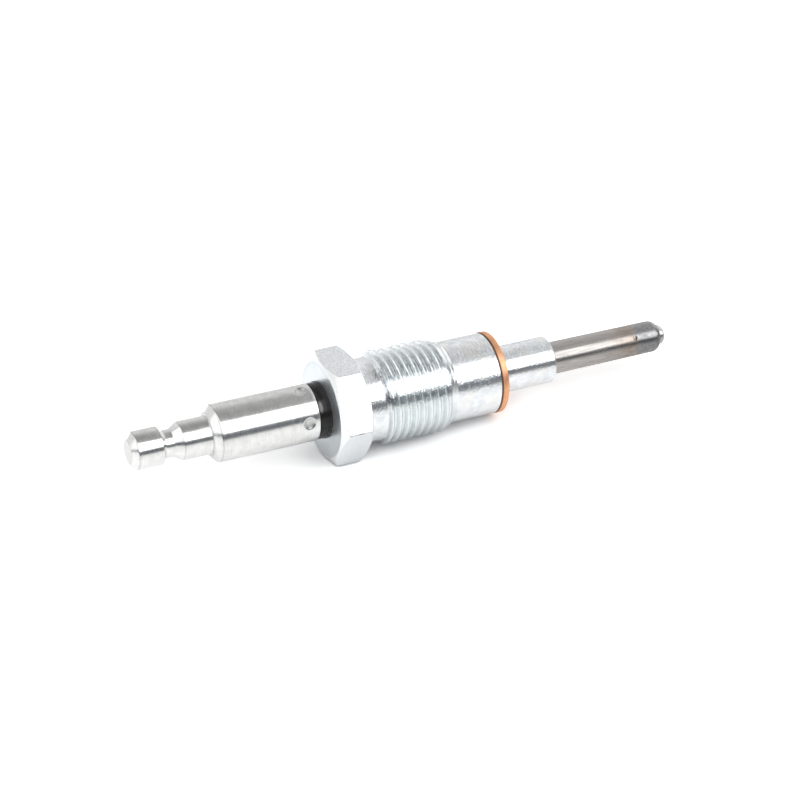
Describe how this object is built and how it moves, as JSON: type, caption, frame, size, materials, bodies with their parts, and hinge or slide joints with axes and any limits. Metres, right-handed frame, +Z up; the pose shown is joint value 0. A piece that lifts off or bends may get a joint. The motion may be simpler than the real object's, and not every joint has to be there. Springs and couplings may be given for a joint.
{
  "type": "diesel glow plug",
  "caption": "Sheathed glow plug with a push-on terminal, hexagon, threaded body, copper sealing ring and heated tube that warms a diesel engine's chamber for starting.",
  "frame": {"origin": "on the plug's axis, in the plane of the copper sealing ring's front face, which seats in the cylinder head", "axes": "+X along the axis towards the glow tip, +Z up and square to a flat of the hexagon, which the plug lies on"},
  "size_m": [0.0863, 0.0174, 0.015],
  "materials": {
    "terminal_nickel": "turned and nickel plated, bright and slightly warm",
    "zinc_plate": "blue-white zinc plate, satin and lightly mottled",
    "copper": "bright annealed copper",
    "sheath": "ground heat-resistant alloy with a brown heat tint towards the tip",
    "black_bush": "moulded black plastic with a soft gloss",
    "black_rubber": "matt black rubber",
    "red_rubber": "matt red-brown silicone rubber",
    "powder": "packed magnesium oxide, matt off-white",
    "rod_steel": "plain drawn steel",
    "nickel_wire": "drawn nickel wire",
    "heater_wire": "drawn resistance wire, dull grey"
  },
  "bodies": {
    "root": {"terminal": "terminal_nickel", "insulating_bush": "black_bush", "o_ring": "black_rubber", "housing": "zinc_plate", "sealing_ring": "copper", "glow_tube": "sheath", "tube_seal": "red_rubber", "insulating_powder": "powder", "inner_pole": "rod_steel", "control_coil": "nickel_wire", "heating_coil": "heater_wire"}
  },
  "joints": []
}
